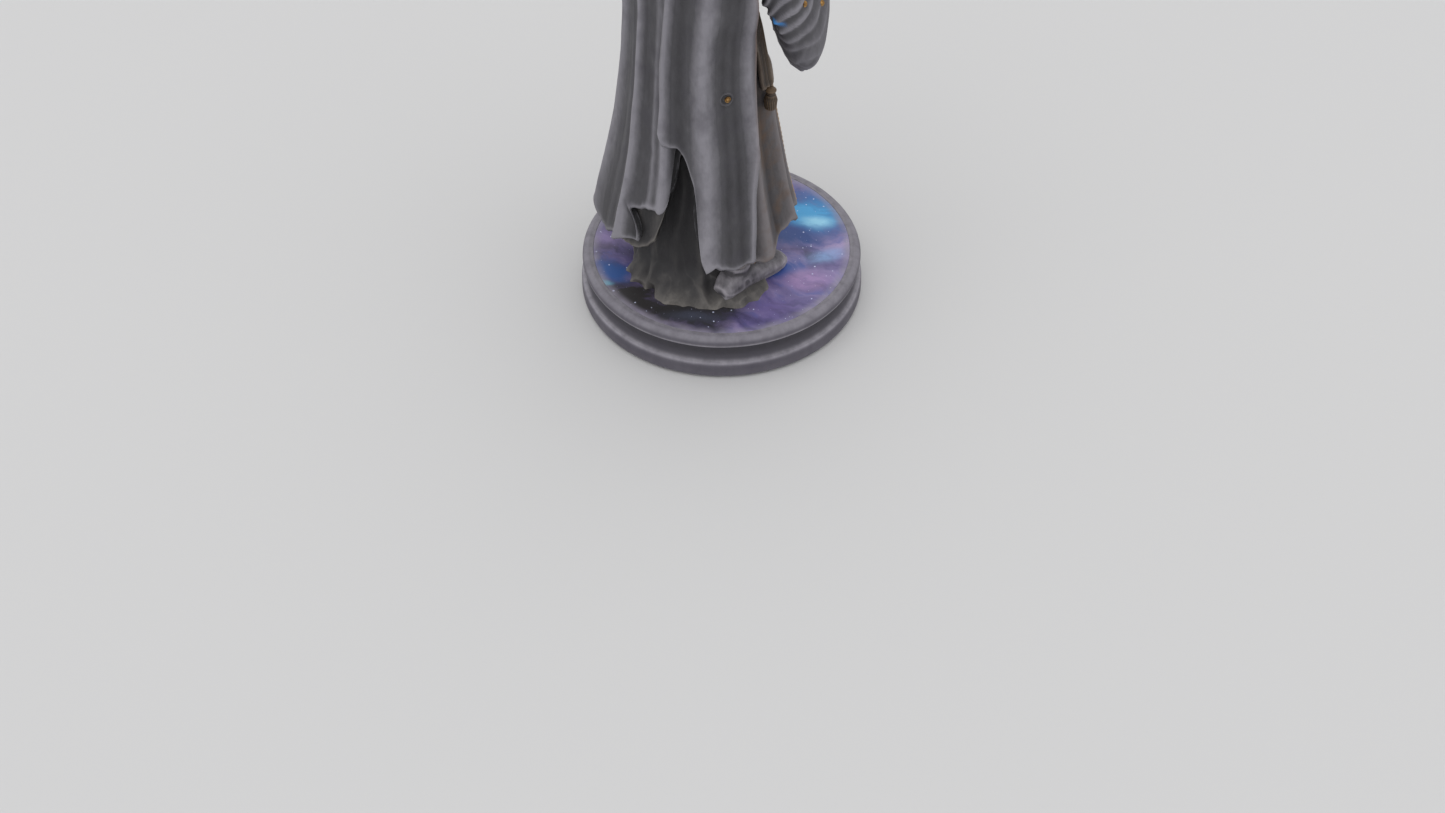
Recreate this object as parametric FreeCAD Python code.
"""Painted display miniature: a hooded, robed mage on a stepped round plinth, as the cast kit it is built from.

Frame: millimetres, +Z up, origin at the centre of the plinth's underside. The mage faces -Y, so its right
hand is towards -X. Every piece is cast or cut separately, and the pieces meet at pins, plugs and glue faces.
Angles round the body ("bearings") are in degrees: 0 is the front (-Y), 90 the mage's left (+X),
180 the back (+Y) and 270 the mage's right (-X).
"""
import FreeCAD
import Part
import math
import os

V = FreeCAD.Vector

# ---- driving dimensions ---------------------------------------------------------------------------
RIM_R = 20.0            # plinth rim radius: a 40 mm display plinth
FLANGE_R = 20.3         # lower flange radius
FLANGE_H = 2.7          # height of the flange's side
COVE_R = 19.1           # radius at the bottom of the groove between flange and rim
RIM_LOW = 5.5           # underside of the rounded rim
RIM_ROUND = 1.4         # radius of the rim's rounded shoulder
GROUND = 6.9            # top of the painted disc: what the mage stands on
DISC_R = 18.4           # painted disc radius
DISC_T = 1.5            # painted disc thickness
PAD_T = 0.5             # felt pad thickness
PAD_R = 19.0
PAD_PROUD = 0.15        # how far the felt stands below the flange
WEIGHT_R = 13.0
WEIGHT_T = 2.2
WEIGHT_HOLE_R = 3.0
GLUE_GAP = 0.05         # gap that the glue fills round a plug or insert

AXIS_X, AXIS_Y = 1.45, 3.15   # the upright body axis, a little left of and behind the plinth's centre
WAIST_Z = 51.4          # middle of the belt
NECK_Z = 70.6
HEAD_Z = 77.0           # centre of the skull
CLOTH_T = 0.9           # thickness of a cast garment wall

PIN_R = 0.6             # brass pins through the boots
PIN_LOW, PIN_HIGH = 3.4, 10.6
RIGHT_BOOT = (-8.2, 2.2)    # middle of each boot's sole
LEFT_BOOT = (8.6, -0.9)
BOOT_L = 12.8

RIGHT_ELBOW, RIGHT_WRIST = V(-11.3, -1.7, 52.6), V(-3.4, -6.4, 59.2)
LEFT_ELBOW, LEFT_WRIST = V(9.4, -2.4, 52.6), V(4.7, -8.6, 56.2)
RIGHT_FINGERS = V(0.75, -0.55, 0.37)    # the way each hand points from its wrist
LEFT_FINGERS = V(-0.83, -0.12, 0.54)

# Outline tables: height, half-width across X, half-depth along Y of each garment's outside.
SURCOAT = [(13.4, 13.6, 13.4), (15.6, 13.1, 12.9), (21, 11.8, 11.7), (26, 10.9, 10.9), (31, 10.1, 10.0),
           (37, 9.4, 9.1), (41, 8.9, 8.3), (44, 8.5, 7.7), (48, 7.9, 6.9), (51.4, 7.0, 5.8)]
CLOAK = [(12.4, 13.9, 13.7), (15.5, 13.3, 13.2), (21, 12.2, 12.0), (26, 11.1, 11.0), (31, 10.1, 10.1),
         (36, 9.4, 9.4), (40, 9.0, 8.7), (45, 8.7, 8.3), (50, 8.8, 7.9), (55, 9.7, 7.8),
         (60, 10.4, 7.5), (64, 10.2, 7.0), (66.4, 9.0, 6.2)]
UNDER_ROBE = [(GROUND, 9.4, 10.1), (8.4, 8.8, 9.4), (11, 8.1, 8.6), (16, 7.7, 8.0), (25, 7.0, 7.2),
              (36, 6.3, 6.2), (45, 6.0, 5.3), (50.2, 5.9, 4.8)]
TORSO = [(50.2, 5.9, 4.8), (54, 6.1, 4.9), (60, 6.9, 5.3), (64, 7.0, 5.0), (67, 5.6, 4.2), (69.4, 3.0, 2.9)]
MANTLE = [(60.8, 13.3, 10.0), (62.5, 13.0, 9.8), (65, 12.1, 9.0), (67, 10.2, 7.6), (69, 7.0, 5.7), (70.6, 4.3, 4.1)]

# Folds: bearing, half-width in degrees, height. Each is a ridge in the cloth that grows towards the hem.
CLOAK_FOLDS = [(70, 9, 0.7), (92, 6, 0.8), (108, 6, -0.6), (126, 8, 0.9), (142, 6, -0.6), (160, 7, 0.7),
               (171, 5, -0.8), (181, 6, 1.1), (191, 5, -0.9), (200, 5, 1.2), (212, 7, -0.7), (232, 7, 1.1),
               (244, 5, -0.6), (252, 4, -0.6), (263, 6, 0.9)]
SURCOAT_FOLDS = [(34, 6, 0.6), (56, 7, 0.8), (78, 7, 0.7), (104, 8, 0.7), (258, 5, -0.6), (271, 6, 0.9),
                 (286, 5, -0.5), (303, 6, 0.8), (322, 5, 0.6)]
ROBE_FOLDS = [(15 + 24 * k, 6.5, 0.55 + 0.2 * math.sin(2.3 * k)) for k in range(15)]

# Hems: bearing and height of the lower edge. The cloak is torn at the back, where its halves overlap.
CLOAK_LEFT_HEM = [(52, 16.2), (75, 15.6), (95, 15.8), (115, 15.0), (130, 14.0), (140, 13.8), (150, 14.6),
                  (161, 16.4), (169, 19.0), (176, 22.2), (184, 23.3), (194, 23.8), (211, 25.5), (221, 29.0)]
CLOAK_RIGHT_HEM = [(199, 36.0), (203, 34.4), (207, 33.7), (214, 33.3), (220, 31.3), (225.5, 28.4), (227.5, 25.6),
                   (229.5, 21.5), (232, 18.0), (235.5, 16.2), (241, 16.6), (247, 15.7), (256, 14.9), (268, 15.4)]
ROBE_BACK_HEM = [(108, 14.4), (130, 13.6), (150, 13.8), (162, 14.3), (173, 14.9), (181, 15.3), (188, 16.0),
                 (194, 17.4), (199, 20.6), (203, 25.0), (208, 30.0), (214, 32.0), (232, 31.0)]
SURCOAT_RIGHT_HEM = [(243, 14.6), (255, 13.9), (268, 14.2), (282, 15.0), (296, 15.9), (312, 15.0), (332, 14.2)]
SURCOAT_LEFT_HEM = [(28, 14.2), (45, 15.1), (62, 14.4), (82, 15.2), (110, 14.6)]
TABARD_HEM = [(-23, 19.4), (-12, 17.6), (0, 15.4), (12, 17.6), (23, 19.4)]


# ---- small geometry helpers -----------------------------------------------------------------------
def between(table, at):
    """Values of a table at a point, straight between its rows and held at its ends."""
    if at <= table[0][0]:
        return table[0][1:]
    for low, high in zip(table, table[1:]):
        if at <= high[0]:
            share = (at - low[0]) / (high[0] - low[0])
            return tuple(p + (q - p) * share for p, q in zip(low[1:], high[1:]))
    return table[-1][1:]


def eased(share):
    share = min(1.0, max(0.0, share))
    return share * share * (3 - 2 * share)


def folded(folds, bearing):
    """Height of the folds at a bearing, each a smooth bump round its own ridge."""
    total = 0.0
    for ridge, width, height in folds:
        off = (bearing - ridge + 180) % 360 - 180
        total += height * math.exp(-((off / width) ** 2))
    return total


def round_body(table, folds, bearing, z, out, fold_share):
    """A point of a garment: its outline at z, its folds, and a distance outwards."""
    wide, deep = between(table, z)
    swell = folded(folds, bearing) * fold_share + out
    a = math.radians(bearing)
    return V(AXIS_X + (wide + swell) * math.sin(a), AXIS_Y - (deep + swell) * math.cos(a), z)


def grown(z, low=13.0, high=62.0):
    """Share of the folds' height at z: full at the hem and nearly gone at the shoulders."""
    return 0.15 + 0.85 * (1 - eased((z - low) / (high - low)))


def skin(grid):
    """A smooth surface through a grid of points."""
    surface = Part.BSplineSurface()
    surface.interpolate(grid)
    return surface


def slab(outer, inner):
    """A closed curved plate between two grids of points with the same rows and columns."""
    faces = []
    surfaces = [skin(outer), skin(inner)]
    for surface in surfaces:
        faces.append(surface.toShape())
    top, under = surfaces
    u0, u1, v0, v1 = top.bounds()
    for edge in (lambda s: s.uIso(u0), lambda s: s.uIso(u1), lambda s: s.vIso(v0), lambda s: s.vIso(v1)):
        faces.append(Part.makeRuledSurface(edge(top).toShape(), edge(under).toShape()))
    return closed(faces)


def closed(faces):
    """The solid inside faces that meet edge to edge."""
    shell = Part.Shell([f for face in faces for f in face.Faces])
    shell.sewShape()
    solid = Part.Solid(shell)
    if solid.Volume < 0:
        solid.reverse()
    return solid


def loop(points):
    """A smooth closed wire through points."""
    curve = Part.BSplineCurve()
    curve.interpolate(points, PeriodicFlag=True)
    return Part.Wire([curve.toShape()])


def lofted(loops):
    """A solid through closed loops of points."""
    return Part.makeLoft([loop(points) for points in loops], True, False)


def ring_points(table, folds, z, out, fold_share, count=60):
    return [round_body(table, folds, 360.0 * k / count, z, out, fold_share) for k in range(count)]


def ellipsoid(centre, rx, ry, rz):
    ball = Part.makeSphere(1.0)
    matrix = FreeCAD.Matrix()
    matrix.scale(rx, ry, rz)
    ball = ball.transformGeometry(matrix)
    ball.translate(centre)
    return ball


def rod(start, end, radius):
    return Part.makeCylinder(radius, (end - start).Length, start, end - start)


def taper(start, end, r0, r1):
    return Part.makeCone(r0, r1, (end - start).Length, start, end - start)


def garment(table, folds, hem, top, first, last, out, columns, rows, folds_low=13.0, thickness=CLOTH_T):
    """An open cast garment wall from bearing first to last, from its hem up to top."""
    def layer(extra):
        grid = []
        for i in range(columns + 1):
            bearing = first + (last - first) * i / columns
            low = between(hem, bearing)[0]
            line = []
            for j in range(rows + 1):
                z = low + (top - low) * j / rows
                line.append(round_body(table, folds, bearing, z, out + extra, grown(z, folds_low)))
            grid.append(line)
        return grid
    return slab(layer(0.0), layer(-thickness))


# ---- plinth ---------------------------------------------------------------------------------------
def plinth():
    """Stepped round plinth: lower flange, groove, rounded rim, a seat for the disc and a hollow underside."""
    bottom = PAD_PROUD
    chamfer = 0.35
    seat = GROUND - DISC_T
    hollow_r = WEIGHT_R + GLUE_GAP
    hollow_top = PAD_T + WEIGHT_T + GLUE_GAP
    pad_seat_r = PAD_R + GLUE_GAP
    p = [V(0, 0, hollow_top), V(hollow_r, 0, hollow_top), V(hollow_r, 0, PAD_T), V(pad_seat_r, 0, PAD_T),
         V(pad_seat_r, 0, bottom), V(FLANGE_R - chamfer, 0, bottom), V(FLANGE_R, 0, bottom + chamfer),
         V(FLANGE_R, 0, FLANGE_H - chamfer), V(FLANGE_R - chamfer, 0, FLANGE_H)]
    edges = [Part.makeLine(a, b) for a, b in zip(p, p[1:])]
    cove_start, cove_end = p[-1], V(RIM_R - 0.25, 0, RIM_LOW)
    cove_mid = V(COVE_R, 0, (FLANGE_H + RIM_LOW) / 2)
    edges.append(Part.Arc(cove_start, cove_mid, cove_end).toShape())
    lip = V(RIM_R, 0, RIM_LOW + 0.25)
    edges.append(Part.makeLine(cove_end, lip))
    shoulder_low = V(RIM_R, 0, GROUND + 0.05 - RIM_ROUND + 0.3)
    turn = RIM_ROUND * math.sin(math.radians(45))
    shoulder_mid = V(RIM_R - RIM_ROUND + turn, 0, shoulder_low.z + turn * 0.82)
    shoulder_top = V(RIM_R - RIM_ROUND, 0, GROUND + 0.12)
    edges.append(Part.makeLine(lip, shoulder_low))
    edges.append(Part.Arc(shoulder_low, shoulder_mid, shoulder_top).toShape())
    seat_r = DISC_R + GLUE_GAP
    rest = [shoulder_top, V(seat_r, 0, GROUND + 0.02), V(seat_r, 0, seat), V(0, 0, seat), V(0, 0, hollow_top)]
    edges += [Part.makeLine(a, b) for a, b in zip(rest, rest[1:])]
    body = Part.Face(Part.Wire(edges)).revolve(V(0, 0, 0), V(0, 0, 1), 360)
    return body.cut(pin_holes())


def pin_holes():
    """The drilled holes that the foot pins are glued in."""
    holes = [Part.makeCylinder(PIN_R + GLUE_GAP, PIN_HIGH - PIN_LOW + 0.2, V(x, y, PIN_LOW - 0.1))
             for x, y in (RIGHT_BOOT, LEFT_BOOT)]
    return Part.makeCompound(holes)


def foot_pins():
    pins = []
    for x, y in (RIGHT_BOOT, LEFT_BOOT):
        pin = Part.makeCylinder(PIN_R, PIN_HIGH - PIN_LOW, V(x, y, PIN_LOW))
        pins.append(pin.makeChamfer(0.12, [pin.Edges[0], pin.Edges[2]]))
    return Part.makeCompound(pins)


def galaxy_disc():
    """Painted disc, with a small bevel round its upper edge."""
    disc = Part.makeCylinder(DISC_R, DISC_T, V(0, 0, GROUND - DISC_T))
    upper = [e for e in disc.Edges if e.BoundBox.ZMin > GROUND - 0.01 and len(e.Vertexes) == 1]
    return disc.makeChamfer(0.15, upper).cut(pin_holes())


def base_weight():
    """Steel washer that keeps the tall figure from tipping."""
    slug = Part.makeCylinder(WEIGHT_R, WEIGHT_T, V(0, 0, PAD_T))
    slug = slug.cut(Part.makeCylinder(WEIGHT_HOLE_R, WEIGHT_T, V(0, 0, PAD_T)))
    rims = [e for e in slug.Edges if abs(e.BoundBox.ZLength) < 1e-6]
    return slug.makeChamfer(0.2, rims)


def felt_pad():
    return Part.makeCylinder(PAD_R, PAD_T, V(0, 0, 0))


# ---- boots and robes ------------------------------------------------------------------------------
def boot(place, turn, lean, room=0.0):
    """A soft boot: sole, rounded toe, heel, instep and a shaft that leans in and up into the robe.

    With some room round it, it is the cutter for the pocket that the boot sits in.
    """
    # share of the length from the heel, half-width, height over the sole, how far the sole narrows
    stations = [(0.0, 1.10, 2.2), (0.06, 1.70, 3.4), (0.22, 1.85, 4.6), (0.40, 1.75, 4.2), (0.58, 1.95, 3.0),
                (0.76, 2.15, 2.3), (0.90, 1.85, 1.9), (0.98, 1.05, 1.3)]
    loops = []
    for share, half, height in stations:
        y = (BOOT_L + 2 * room) * (0.5 - share)
        points = []
        for k in range(16):
            a = 2 * math.pi * k / 16
            side = math.copysign(abs(math.cos(a)) ** 0.75, math.cos(a))
            rise = math.copysign(abs(math.sin(a)) ** 0.75, math.sin(a))
            points.append(V((half + room) * side, y, (height + 7 * room) / 2 * (1 + rise) - 6 * room))
        loops.append(points)
    foot = lofted(loops)
    shaft = []
    for z, shift in ((1.5, 0.0), (4.5, 0.15), (8.0, 0.45), (12.5, 1.0)):
        shaft.append([V((1.75 + room) * math.cos(2 * math.pi * k / 14) + shift * lean,
                        BOOT_L * 0.22 + (2.0 + room) * math.sin(2 * math.pi * k / 14), z) for k in range(14)])
    whole = foot.fuse(lofted(shaft)).removeSplitter()
    whole.rotate(V(0, 0, 0), V(0, 0, 1), turn)
    whole.translate(V(place[0], place[1], GROUND))
    return whole


def robe_swell(bearing, z):
    """The trailing hem: the robe spreads at the back, in uneven puddled folds, where it meets the ground."""
    near_floor = 1 - eased((z - GROUND) / 6.0)
    crumple = 0.4 * math.sin(math.radians(7 * bearing + 20)) + 0.25 * math.sin(math.radians(13 * bearing + 75))
    train = 1.4 * math.exp(-(((bearing - 212) / 24) ** 2))
    return near_floor * (crumple + train)


def under_robe_solid(out):
    loops = []
    for z in (GROUND, 7.6, 8.6, 10.5, 13, 18, 25, 33, 41, 46, 50.2):
        points = []
        for k in range(72):
            bearing = 360.0 * k / 72
            share = grown(z, 9, 48)
            points.append(round_body(UNDER_ROBE, ROBE_FOLDS, bearing, z, out + robe_swell(bearing, z), share))
        loops.append(points)
    return lofted(loops)


def under_robe(boots):
    """Floor-length under-robe, cast hollow from below up to the waist, with pockets for the boots."""
    hollow = []
    for z, shrink in ((GROUND - 1, 2.4), (9, 2.4), (14, 2.3), (25, 2.3), (36, 2.4), (43, 3.0)):
        hollow.append(ring_points(UNDER_ROBE, [], z, -shrink, 0, 24))
    robe = under_robe_solid(0.0).cut(lofted(hollow))
    plug = Part.makeCylinder(2.0 + GLUE_GAP, 3.2, V(AXIS_X, AXIS_Y, 47.2))
    robe = robe.cut(plug)
    for piece in boots:
        robe = robe.cut(piece)
    return biggest(robe)


def biggest(shape):
    """The main solid, without the slivers that a cut may leave."""
    return max(shape.Solids, key=lambda s: s.Volume)


def torso():
    """Chest and shoulders in the surcoat's bodice, with a waist plug below and a neck socket above."""
    loops = [ring_points(TORSO, [], z, 0, 0, 32) for z, _, _ in TORSO]
    body = lofted(loops)
    plug = Part.makeCylinder(2.0, 3.0, V(AXIS_X, AXIS_Y, 47.3))
    socket = Part.makeCylinder(1.5 + GLUE_GAP, 3.0, V(AXIS_X, AXIS_Y, 66.5))
    return body.fuse(plug).cut(socket)


def surcoat(hem, first, last, columns):
    return garment(SURCOAT, SURCOAT_FOLDS, hem, WAIST_Z - 1.35, first, last, 0.0, columns, 9)


def robe_back():
    """Inner back panel of the robe, between the cloak and the under-robe; its hem shows under the torn cloak."""
    return garment(SURCOAT, [(120 + 19 * k, 6, 0.35) for k in range(6)], ROBE_BACK_HEM, 44.5, 112, 232,
                   -1.55, 44, 9, thickness=0.7)


def edge_trim(hem, first, last):
    """A gilded border that lies on the surcoat along one front edge."""
    return garment(SURCOAT, SURCOAT_FOLDS, hem, WAIST_Z - 2.0, first, last, 0.42, 4, 9, thickness=0.38)


def tabard():
    """Front panel between the surcoat's edges, inside them."""
    inner = [(z, wide - 0.8, deep - 0.8) for z, wide, deep in SURCOAT]
    return garment(inner, [(-9, 5, 0.35), (9, 5, 0.35)], TABARD_HEM, WAIST_Z - 1.4, -23, 23, 0.0, 16, 8, thickness=0.7)


def cloak_side_room(bearing, z):
    """The cloak stands further out at both sides, over the surcoat."""
    right = 0.9 * eased((bearing - 205) / 35) * eased((z - 24) / 9) * (1 - eased((z - 52) / 8))
    left = 1.9 * eased((132 - bearing) / 22) * (1 - eased((z - 50) / 10))
    return right + left


def cloak_panel(hem, first, last, lift, columns, edge=None):
    """Half of the cloak. The edge table narrows the right half where it passes behind the raised arm."""
    top = 64.4

    def layer(extra):
        grid = []
        for i in range(columns + 1):
            share = i / columns
            line = []
            for j in range(15):
                bearing = first + (last - first) * share
                low = between(hem, bearing)[0]
                z = low + (top - low) * j / 14
                if edge:
                    bearing = first + (between(edge, z)[0] - first) * share
                out = lift + extra + cloak_side_room(bearing, z)
                line.append(round_body(CLOAK, CLOAK_FOLDS, bearing, z, out, grown(z)))
            grid.append(line)
        return grid
    return slab(layer(0.0), layer(-CLOTH_T))


CLOAK_RIGHT_EDGE = [(13, 255), (18, 257), (25.5, 260.5), (32, 264), (38, 267), (46, 270.5), (54, 267), (60, 260),
                    (66, 252)]
CLOAK_OVERLAP = 1.15    # how far the right half stands over the left one


# ---- waist ----------------------------------------------------------------------------------------
def oval_ring(z0, z1, inner_w, inner_d, wall):
    """An oval band round the body axis."""
    def oval(w, d, z):
        return [V(AXIS_X + w * math.sin(2 * math.pi * k / 32), AXIS_Y - d * math.cos(2 * math.pi * k / 32), z)
                for k in range(32)]
    outer = lofted([oval(inner_w + wall, inner_d + wall, z) for z in (z0, z1)])
    inner = lofted([oval(inner_w, inner_d, z) for z in (z0 - 0.1, z1 + 0.1)])
    return outer.cut(inner)


BELT_W, BELT_D, BELT_WALL, BELT_H = 7.15, 5.95, 0.6, 2.3


def belt():
    return oval_ring(WAIST_Z - BELT_H / 2, WAIST_Z + BELT_H / 2, BELT_W, BELT_D, BELT_WALL)


def waistband():
    """The bodice's lower edge, which fills the belt and closes the surcoat's top."""
    return oval_ring(WAIST_Z - 1.1, WAIST_Z + 1.6, 6.2, 5.05, 0.85)


def belt_buckle():
    """Square brass frame with a bar and a tongue, on the belt's front."""
    y = AXIS_Y - BELT_D - BELT_WALL
    frame = Part.makeBox(3.4, 0.6, 3.2, V(AXIS_X - 1.7, y - 0.62, WAIST_Z - 1.6))
    frame = frame.makeFillet(0.35, [e for e in frame.Edges if e.BoundBox.YLength > 0.5])
    window = Part.makeBox(2.2, 2, 2.0, V(AXIS_X - 1.1, y - 1.2, WAIST_Z - 1.0))
    tongue = Part.makeBox(2.6, 0.35, 0.5, V(AXIS_X - 1.3, y - 0.75, WAIST_Z - 0.25))
    return frame.cut(window).fuse(tongue)


SASH_HEM = 38.6         # lower end of the sash, where its tassel hangs


def sash_tail():
    """Hanging sash end on the right hip, down to its tassel."""
    hem = [(286, SASH_HEM), (300, SASH_HEM)]
    return garment(SURCOAT, SURCOAT_FOLDS, hem, WAIST_Z - 1.5, 287, 298, 0.95, 5, 7, thickness=0.85)


def sash_tassel():
    """Rounded tassel below the sash, with its collar."""
    z = SASH_HEM - 0.02
    top = round_body(SURCOAT, SURCOAT_FOLDS, 292.5, z, 1.45, grown(z))
    heights = [(0.0, 0.6), (-0.4, 0.8), (-0.8, 0.6), (-1.9, 0.95), (-3.0, 0.85), (-3.4, 0.35)]
    loops = [[V(top.x + r * math.cos(2 * math.pi * k / 12), top.y + r * math.sin(2 * math.pi * k / 12), top.z + dz)
              for k in range(12)] for dz, r in heights]
    return lofted(loops)


# ---- arms -----------------------------------------------------------------------------------------
def oval_at(centre, wide_axis, wide, tall_axis, up, down, count=28):
    """A closed oval: half-width along wide_axis, and different reaches up and down tall_axis."""
    points = []
    for k in range(count):
        a = 2 * math.pi * k / count
        rise = math.cos(a)
        reach = up if rise > 0 else down
        slim = 1.0 if rise > 0 else 1.0 - 0.18 * rise * rise
        points.append(centre + wide_axis * (wide * slim * math.sin(a)) + tall_axis * (reach * rise))
    return points


# centre, wide axis, half-width, tall axis, reach up, reach down
RIGHT_SLEEVE = [
    (V(-5.2, 3.6, 65.2), V(0.10, 1.0, 0.0), 2.6, V(0.75, 0.1, 0.62), 2.2, 2.2),
    (V(-7.2, 2.2, 61.0), V(0.25, 0.96, 0.0), 2.7, V(0.88, -0.1, 0.42), 2.2, 2.4),
    (V(-9.4, 0.4, 56.6), V(0.40, 0.90, 0.0), 2.9, V(0.85, -0.25, 0.40), 2.3, 3.2),
    (V(-11.0, -1.6, 52.6), V(0.30, 0.95, 0.0), 3.5, V(0.50, 0.0, 0.87), 3.4, 5.8),
    (V(-10.3, -3.6, 53.2), V(0.28, 0.96, 0.0), 4.2, V(0.20, 0.0, 0.98), 3.2, 11.0),
    (V(-8.2, -4.9, 54.6), V(0.35, 0.94, 0.0), 4.3, V(0.12, 0.0, 0.99), 3.0, 14.4),
]
LEFT_SLEEVE = [
    (V(8.8, 3.6, 65.2), V(-0.1, 1.0, 0.0), 2.5, V(-0.75, 0.1, 0.62), 2.1, 2.1),
    (V(9.2, 2.0, 61.0), V(-0.1, 0.98, 0.0), 2.4, V(-0.95, -0.1, 0.2), 2.0, 2.0),
    (V(9.3, -0.4, 56.6), V(-0.15, 0.95, 0.0), 2.5, V(-0.90, -0.35, 0.25), 2.1, 2.3),
    (V(9.0, -3.0, 53.2), V(-0.6, 0.80, 0.0), 2.6, V(-0.45, -0.3, 0.84), 2.8, 4.4),
    (V(7.2, -5.2, 53.8), V(0.45, 0.89, 0.0), 2.8, V(-0.15, 0.0, 0.99), 2.5, 9.6),
    (V(5.2, -6.6, 55.2), V(0.5, 0.86, 0.0), 2.9, V(-0.3, 0.0, 0.95), 2.2, 13.4),
]
SLEEVE_T = 0.8


def unit(vector):
    copy = V(vector.x, vector.y, vector.z)
    copy.normalize()
    return copy


def eased_sections(sections, steps):
    """Extra sections between the given ones, on smooth curves through them."""
    rows = [[c.x, c.y, c.z, w.x, w.y, w.z, wide, t.x, t.y, t.z, up, down] for c, w, wide, t, up, down in sections]
    rows = [rows[0]] + rows + [rows[-1]]
    found = []
    for n in range(1, len(rows) - 2):
        before, start, end, after = rows[n - 1:n + 3]
        for k in range(steps + (n == len(rows) - 3)):
            t = k / steps
            row = [0.5 * (2 * b + (c - a) * t + (2 * a - 5 * b + 4 * c - d) * t * t +
                          (3 * b - a - 3 * c + d) * t ** 3) for a, b, c, d in zip(before, start, end, after)]
            found.append((V(*row[0:3]), V(*row[3:6]), row[6], V(*row[7:10]), row[10], row[11]))
    return found


def face_of(surface, along):
    """Flat cap on a closed edge of a tube."""
    return Part.Face(Part.Wire([surface.uIso(along).toShape()]))


def tube_grid(loops):
    return [points + [points[0]] for points in loops]


def sleeve(sections):
    """Wide bell sleeve: closed round the upper arm, and hollow from the elbow to its hanging mouth."""
    steps = 3
    outer, inner = [], []
    dense = eased_sections(sections, steps)
    for n, (centre, wide_axis, wide, tall_axis, up, down) in enumerate(dense):
        w, t = unit(wide_axis), unit(tall_axis)
        outer.append(oval_at(centre, w, wide, t, up, down))
        if n >= steps * 2 + 1:
            inner.append(oval_at(centre, w, wide - SLEEVE_T, t, up - SLEEVE_T, down - SLEEVE_T * 1.3))
    skin_out, skin_in = skin(tube_grid(outer)), skin(tube_grid(inner))
    start, end = skin_out.bounds()[:2]
    start_in, end_in = skin_in.bounds()[:2]
    mouth = Part.makeRuledSurface(skin_out.uIso(end).toShape(), skin_in.uIso(end_in).toShape())
    walls = [skin_out.toShape(), face_of(skin_out, start), skin_in.toShape(), face_of(skin_in, start_in), mouth]
    body = [skin_out.toShape(), face_of(skin_out, start), face_of(skin_out, end)]
    return closed(walls), closed(body)


def undersleeve(elbow, wrist):
    """Close-fitting inner sleeve on the forearm, with a rolled cuff at the wrist."""
    way = unit(wrist - elbow)
    arm = taper(elbow + way * 2.2, wrist, 1.75, 1.35)
    cuff = Part.makeTorus(1.42, 0.34, wrist - way * 0.45, way)
    return arm.fuse(cuff)


def hand(wrist, fingers, palm_side, thumb_way, spread):
    """A hand: palm, four fingers a little bent, a thumb, and the wrist plug inside the cuff."""
    way = unit(fingers)
    side = unit(palm_side)
    normal = unit(way.cross(side))
    pieces = [taper(wrist, wrist + way * 1.6, 0.98, 1.05)]
    palm = []
    for along, half, thick in ((0.6, 0.95, 0.75), (1.8, 1.35, 0.72), (3.0, 1.55, 0.66), (4.0, 1.5, 0.56)):
        palm.append([wrist + way * along + side * (half * math.cos(2 * math.pi * k / 14)) +
                     normal * (thick * math.sin(2 * math.pi * k / 14)) for k in range(14)])
    pieces.append(lofted(palm))
    for n, length in enumerate((3.0, 3.4, 3.2, 2.5)):
        root = wrist + way * 3.6 + side * (1.12 - 0.75 * n)
        bend = unit(way + side * ((1.5 - n) * spread))
        middle = root + bend * (length * 0.5)
        curl = unit(bend - normal * 0.45)
        tip = middle + curl * (length * 0.5)
        pieces += [taper(root, middle, 0.44, 0.40), Part.makeSphere(0.41, middle), taper(middle, tip, 0.40, 0.33),
                   Part.makeSphere(0.33, tip)]
    root = wrist + way * 1.4 + side * 1.0
    knuckle = root + unit(thumb_way) * 1.6
    tip = knuckle + unit(unit(thumb_way) + way * 0.8) * 1.3
    pieces += [taper(root, knuckle, 0.55, 0.45), Part.makeSphere(0.45, knuckle), taper(knuckle, tip, 0.44, 0.34),
               Part.makeSphere(0.34, tip)]
    whole = pieces[0]
    for piece in pieces[1:]:
        whole = whole.fuse(piece)
    return whole


# ---- head and hood --------------------------------------------------------------------------------
HEAD = V(AXIS_X, AXIS_Y - 0.9, HEAD_Z)


def head():
    """Skull, jaw and nose of a plain face, on a neck that plugs into the torso."""
    skull = ellipsoid(HEAD + V(0, 0.6, 0.9), 3.35, 3.9, 3.7)
    jaw = ellipsoid(HEAD + V(0, -0.7, -1.7), 2.5, 2.8, 3.2)
    nose = taper(HEAD + V(0, -3.0, 0.7), HEAD + V(0, -3.65, -0.9), 0.4, 0.62)
    neck = taper(V(AXIS_X, AXIS_Y, 69.55), V(AXIS_X, AXIS_Y - 0.4, 75.0), 2.2, 2.0)
    plug = Part.makeCylinder(1.5, 3.0, V(AXIS_X, AXIS_Y, 66.6))
    return skull.fuse(jaw).fuse(nose).fuse(neck).fuse(plug)


# height, centre's y offset, half-width, half-depth of the hood's outside
HOOD = [(70.35, 0.5, 5.9, 5.6), (71.3, 0.3, 5.4, 5.4), (73.0, 0.0, 5.0, 5.3), (75.5, -0.2, 4.95, 5.5),
        (78.0, 0.0, 4.8, 5.5), (80.0, 0.6, 4.2, 5.0), (81.8, 1.5, 3.2, 4.0), (83.2, 2.5, 2.0, 2.7),
        (84.2, 3.4, 0.8, 1.2)]
HOOD_T = 0.85


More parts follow.
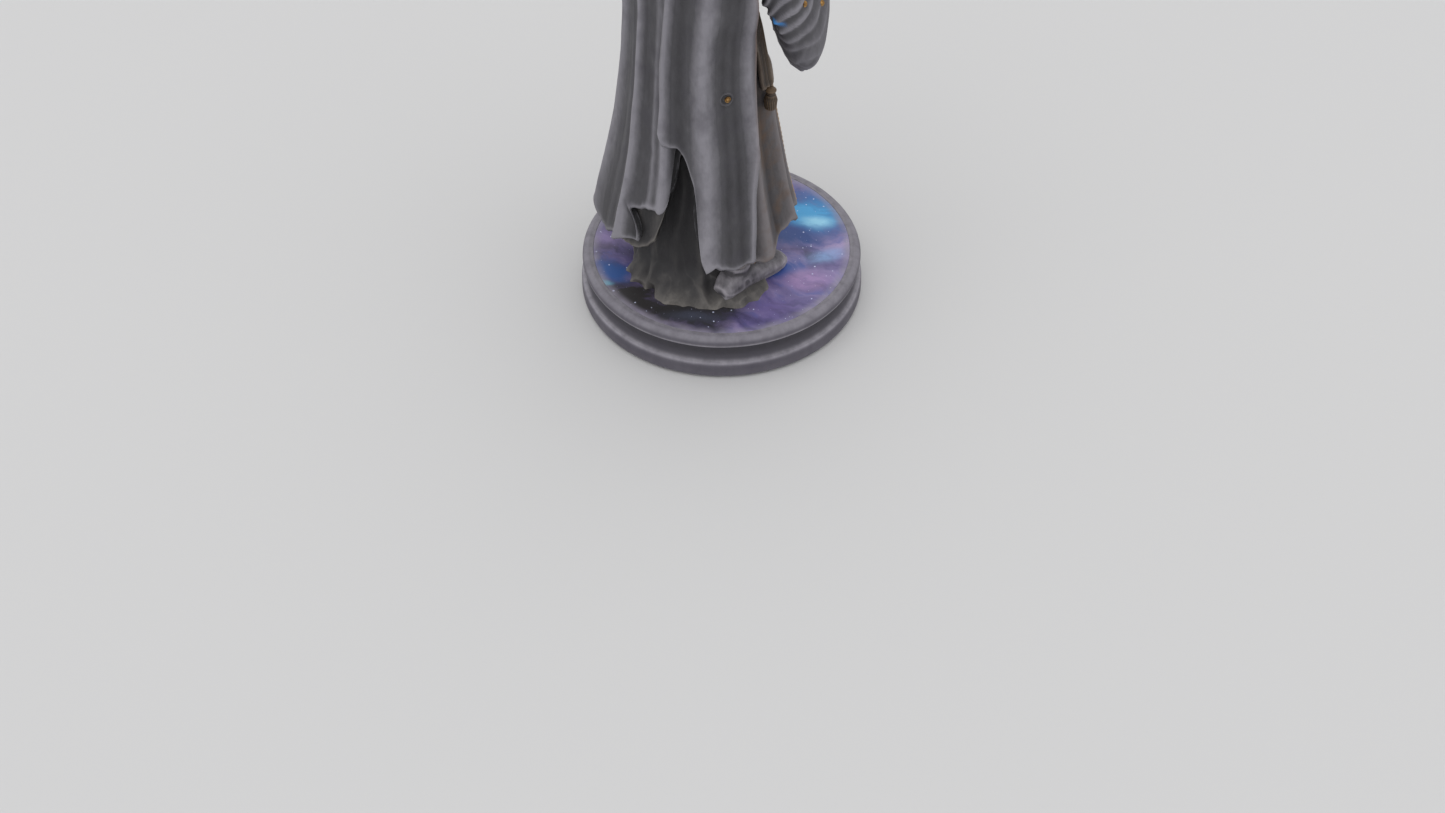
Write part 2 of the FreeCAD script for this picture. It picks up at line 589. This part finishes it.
def hood():
    """Deep hood round the head, open at the face, its point towards the back."""
    def oval(z, back, wide, deep, shrink):
        return [V(AXIS_X + (wide - shrink) * math.sin(2 * math.pi * k / 28),
                  AXIS_Y - 0.6 + back - (deep - shrink) * math.cos(2 * math.pi * k / 28), z) for k in range(28)]
    outer = lofted([oval(z, back, wide, deep, 0.0) for z, back, wide, deep in HOOD])
    inside = [(z if n else z - 0.5, back, wide, deep) for n, (z, back, wide, deep) in enumerate(HOOD[:-2])]
    inner = lofted([oval(z, back, wide, deep, HOOD_T) for z, back, wide, deep in inside])
    opening = ellipsoid(V(AXIS_X, AXIS_Y - 6.6, 76.2), 3.3, 4.6, 4.7)
    throat = Part.makeBox(4.2, 5.0, 5.0, V(AXIS_X - 2.1, AXIS_Y - 8.0, 69.0))
    return biggest(outer.cut(inner).cut(opening).cut(throat))


def mantle():
    """Short shoulder cape, open in a narrow slit at the front where the clasp holds it."""
    hem = [(7, 63.6), (30, 63.0), (60, 61.6), (90, 61.2), (130, 60.6), (180, 59.8), (230, 60.6), (270, 61.2),
           (300, 61.6), (330, 63.0), (353, 63.6)]
    folds = [(20 + 32 * k, 8, 0.3) for k in range(11)]

    def layer(extra):
        grid = []
        for i in range(49):
            bearing = 7 + 346 * i / 48
            low = between(hem, bearing)[0]
            front = 1.9 * max(0.0, math.cos(math.radians(bearing))) ** 2
            line = []
            for j in range(8):
                z = low + (NECK_Z - low) * j / 7
                line.append(round_body(MANTLE, folds, bearing, z, extra - front * (1 - eased((z - 62) / 9)),
                                       1 - eased((z - 60) / 10)))
            grid.append(line)
        return grid
    return slab(layer(0.0), layer(-CLOTH_T))


def mantle_clasp():
    """Round brass clasp over the slit, slightly domed."""
    y = AXIS_Y - 6.95
    disc = Part.makeCylinder(1.5, 0.5, V(AXIS_X, y + 0.1, 66.0), V(0, -1, 0))
    dome = Part.makeCylinder(0.8, 0.4, V(AXIS_X, y - 0.4, 66.0), V(0, -1, 0))
    dome = dome.makeFillet(0.3, [e for e in dome.Edges if e.BoundBox.YMax < y - 0.75])
    return disc.makeChamfer(0.15, [disc.Edges[0]]).fuse(dome)


# ---- studs ----------------------------------------------------------------------------------------
def stud(at, way, radius, height):
    """Domed rivet head that stands on the cloth."""
    way = unit(way)
    ring = Part.makeCylinder(radius, height * 0.4, at, way)
    dome = Part.makeSphere(radius * 0.72, at + way * (height * 0.2))
    half = Part.makeCylinder(radius, height * 2, at, way)
    return ring.fuse(dome.common(half))


CLOAK_STUD = (246.4, 41.0)


def cloak_stud():
    """Brass stud on the back of the cloak's right half."""
    bearing, z = CLOAK_STUD
    out = CLOAK_OVERLAP + cloak_side_room(bearing, z) + 0.02
    at = round_body(CLOAK, CLOAK_FOLDS, bearing, z, out, grown(z))
    a = math.radians(bearing)
    return stud(at, V(math.sin(a), -math.cos(a), 0.08), 0.42, 0.38)


def sleeve_studs(body):
    """Two small studs on the outside of the right sleeve, over the elbow."""
    way = unit(V(-0.6, 0.66, 0.45))
    found = []
    for start in (V(-9.6, -5.2, 50.0), V(-11.0, -6.9, 50.0)):
        hits = body.common(Part.makeLine(start, start + V(-0.56, 0.61, 0.56) * 16))
        end = max((v.Point for v in hits.Vertexes), key=lambda p: (p - start).Length)
        found.append(stud(end - way * 0.12, way, 0.42, 0.4).cut(body))
    return Part.makeCompound(found)


# ---- assembly -------------------------------------------------------------------------------------
def build():
    boots = [boot(RIGHT_BOOT, 0, 1), boot(LEFT_BOOT, 10, -1)]
    holes = pin_holes()
    right_sleeve, right_body = sleeve(RIGHT_SLEEVE)
    left_sleeve, left_body = sleeve(LEFT_SLEEVE)
    chest = torso()
    band = waistband()
    cloaks = [cloak_panel(CLOAK_LEFT_HEM, 52, 221, 0.0, 60),
              cloak_panel(CLOAK_RIGHT_HEM, 199, 268, CLOAK_OVERLAP, 40, CLOAK_RIGHT_EDGE)]
    hands = [hand(RIGHT_WRIST, RIGHT_FINGERS, V(0.1, 0.55, 0.83), V(0.3, 0.2, 0.9), 0.06),
             hand(LEFT_WRIST, LEFT_FINGERS, V(0.5, 0.1, 0.86), V(0.1, 0.1, 0.95), 0.05)]
    parts = {
        "plinth": plinth(),
        "galaxy_disc": galaxy_disc(),
        "base_weight": base_weight(),
        "felt_pad": felt_pad(),
        "foot_pins": foot_pins(),
        "right_boot": boots[0].cut(holes),
        "left_boot": boots[1].cut(holes),
        "under_robe": under_robe([boot(RIGHT_BOOT, 0, 1, 0.07), boot(LEFT_BOOT, 10, -1, 0.07), holes]),
        "torso": chest,
        "waistband": band.cut(chest),
        "surcoat_right": surcoat(SURCOAT_RIGHT_HEM, 243, 332, 34),
        "surcoat_left": surcoat(SURCOAT_LEFT_HEM, 28, 110, 32),
        "trim_right": edge_trim(SURCOAT_RIGHT_HEM, 325, 331.6),
        "trim_left": edge_trim(SURCOAT_LEFT_HEM, 28.4, 35),
        "tabard": tabard(),
        "robe_back": robe_back(),
        "cloak_left": biggest(cloaks[0].cut(left_body)),
        "cloak_right": cloaks[1],
        "belt": belt(),
        "belt_buckle": belt_buckle(),
        "sash_tail": sash_tail(),
        "sash_tassel": sash_tassel(),
        "mantle": mantle(),
        "mantle_clasp": mantle_clasp(),
        "hood": hood(),
        "head": head(),
        "right_sleeve": right_sleeve.cut(chest),
        "left_sleeve": left_sleeve.cut(chest),
        "right_undersleeve": biggest(undersleeve(RIGHT_ELBOW, RIGHT_WRIST).cut(hands[0])),
        "left_undersleeve": biggest(undersleeve(LEFT_ELBOW, LEFT_WRIST).cut(hands[1])),
        "right_hand": hands[0],
        "left_hand": hands[1],
        "cloak_stud": cloak_stud(),
        "sleeve_studs": sleeve_studs(right_body),
    }
    return parts


def main():
    os.makedirs("parts", exist_ok=True)
    for name, shape in build().items():
        print(name, "valid" if shape.isValid() else "NOT VALID", len(shape.Solids), "solids", round(shape.Volume, 2))
        shape.exportStep(os.path.join("parts", name + ".step"))


main()
